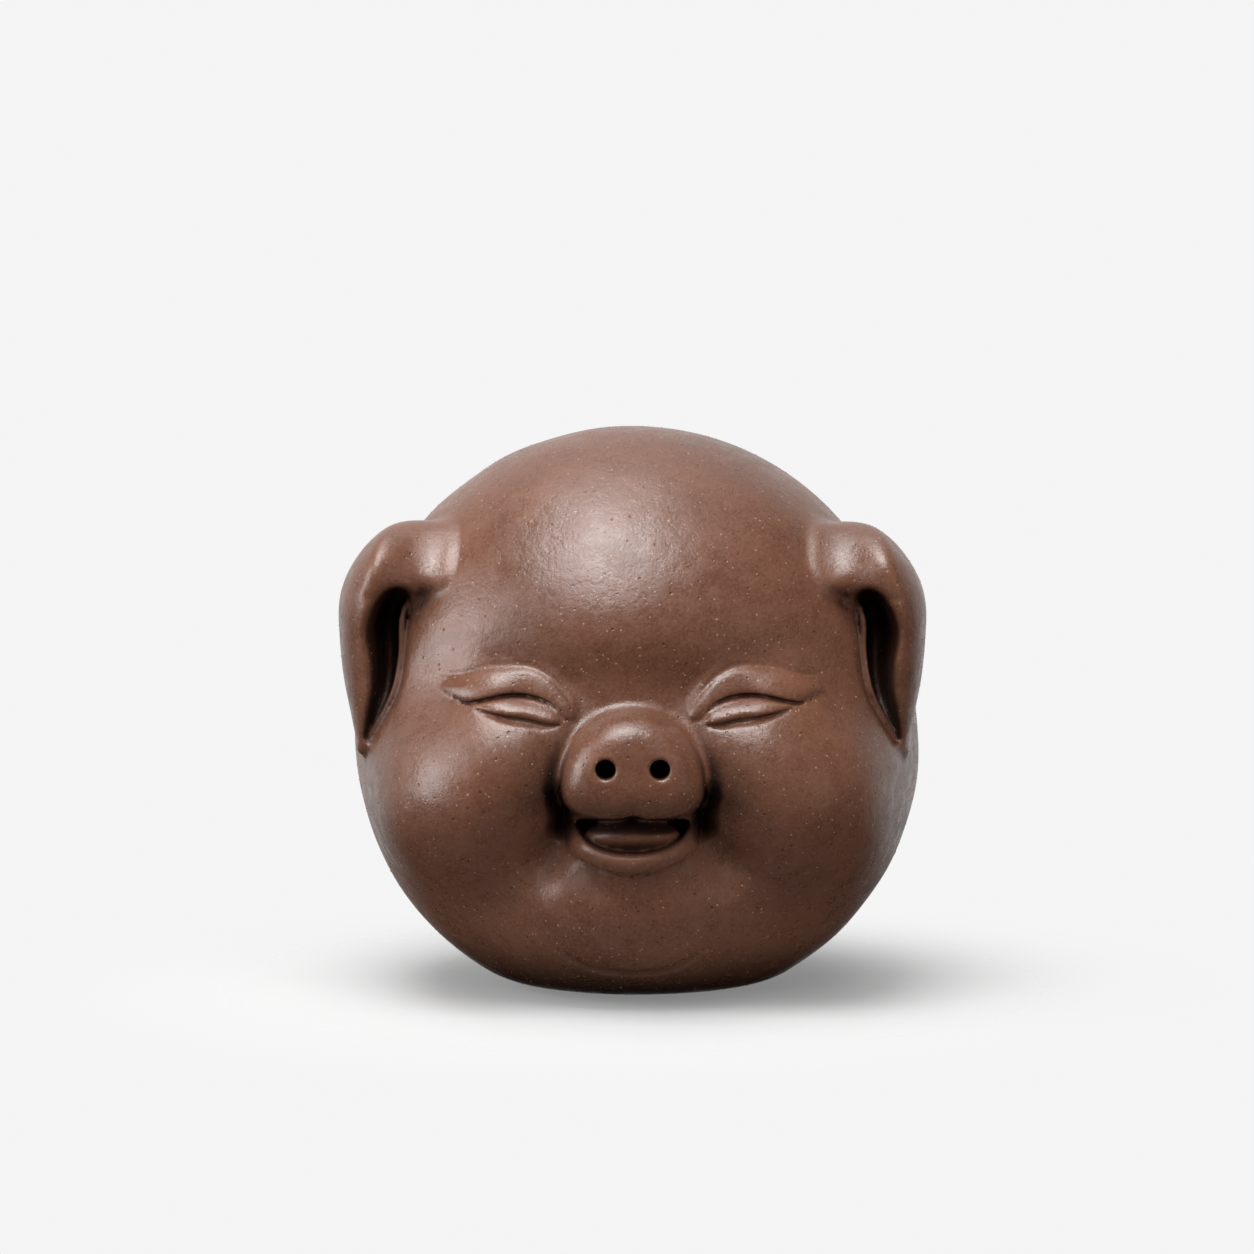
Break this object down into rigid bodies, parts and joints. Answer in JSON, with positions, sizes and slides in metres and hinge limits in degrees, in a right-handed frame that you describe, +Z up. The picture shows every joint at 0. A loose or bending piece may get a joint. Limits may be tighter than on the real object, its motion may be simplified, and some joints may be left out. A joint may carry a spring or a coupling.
{
  "type": "tea pet",
  "caption": "Hollow unglazed clay figure of a laughing pig head with drooping ears, kept on a tea tray and wetted with tea as an ornament.",
  "frame": {"origin": "middle of the object's box in plan, on the flat foot", "axes": "+Z up from the foot to the crown, -Y the way the face looks, +X towards the ear on the right of the picture"},
  "size_m": [0.0694, 0.0686, 0.067],
  "materials": {
    "brown_clay": "unglazed fired clay, lightly polished by handling"
  },
  "bodies": {
    "root": {"pig_head": "brown_clay"}
  },
  "joints": []
}
